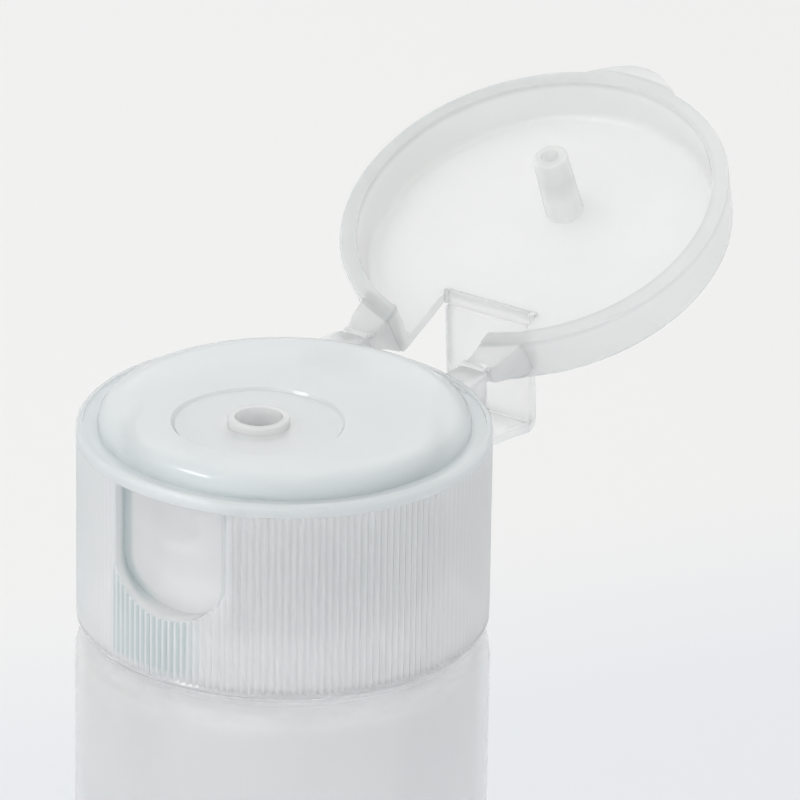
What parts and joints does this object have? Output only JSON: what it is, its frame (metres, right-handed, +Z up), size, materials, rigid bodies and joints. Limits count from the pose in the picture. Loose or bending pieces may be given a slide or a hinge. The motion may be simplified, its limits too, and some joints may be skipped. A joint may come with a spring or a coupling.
{
  "type": "travel bottle",
  "caption": "Frosted refillable travel bottle with a ribbed screw cap and a flip-top lid whose pin closes the orifice.",
  "frame": {"origin": "middle of the bottle's flat underside, on the bottle's axis", "axes": "+Z up along the bottle's axis, -Y to the front (thumb recess and lid lip), +Y to the hinge, +X along the hinge line"},
  "size_m": [0.0342, 0.0701, 0.1096],
  "materials": {
    "bottle_plastic": "frosted translucent polyethylene, satin",
    "cap_plastic": "frosted translucent polypropylene, satin",
    "lid_plastic": "frosted translucent polypropylene, satin",
    "film_plastic": "thin flexed polypropylene",
    "seal_foam": "soft white elastomer"
  },
  "bodies": {
    "bottle": {"bottle_body": "bottle_plastic"},
    "seal": {"neck_seal": "seal_foam"},
    "cap": {"cap_base": "cap_plastic", "hinge_film_left": "film_plastic", "hinge_film_right": "film_plastic", "strap_film_base": "film_plastic"},
    "lid": {"lid": "lid_plastic", "strap_film_lid": "film_plastic"},
    "strap_lower": {"strap_lower_leaf": "lid_plastic", "strap_film_corner": "film_plastic"},
    "strap_upper": {"strap_upper_leaf": "lid_plastic"}
  },
  "joints": [
    {"name": "cap_lift", "type": "slide", "parent": "bottle", "child": "seal", "axis": [0, 0, 1], "range_m": [0, 0.00481]},
    {"name": "cap_unscrew", "type": "hinge", "parent": "seal", "child": "cap", "pos_m": [0, 0, 0.078], "axis": [0, 0, 1], "range_deg": [0, 540]},
    {"name": "lid_flip", "type": "hinge", "parent": "cap", "child": "lid", "pos_m": [0, 0.0187, 0.095], "axis": [1, 0, 0], "range_deg": [0, 156.2]},
    {"name": "strap_foot", "type": "hinge", "parent": "cap", "child": "strap_lower", "pos_m": [0, 0.01745, 0.0867], "axis": [1, 0, 0], "range_deg": [0, 92.8]},
    {"name": "strap_corner", "type": "hinge", "parent": "strap_lower", "child": "strap_upper", "pos_m": [0, 0.03028, 0.08499], "axis": [1, 0, 0], "range_deg": [-6.2, 0]}
  ],
  "couplings": [
    {"joint": "cap_lift", "follows": "cap_unscrew", "m_per_rad": 0.0005093},
    {"joint": "strap_foot", "follows": "lid_flip", "ratio": 0.59347},
    {"joint": "strap_corner", "follows": "lid_flip", "ratio": -0.038819}
  ]
}
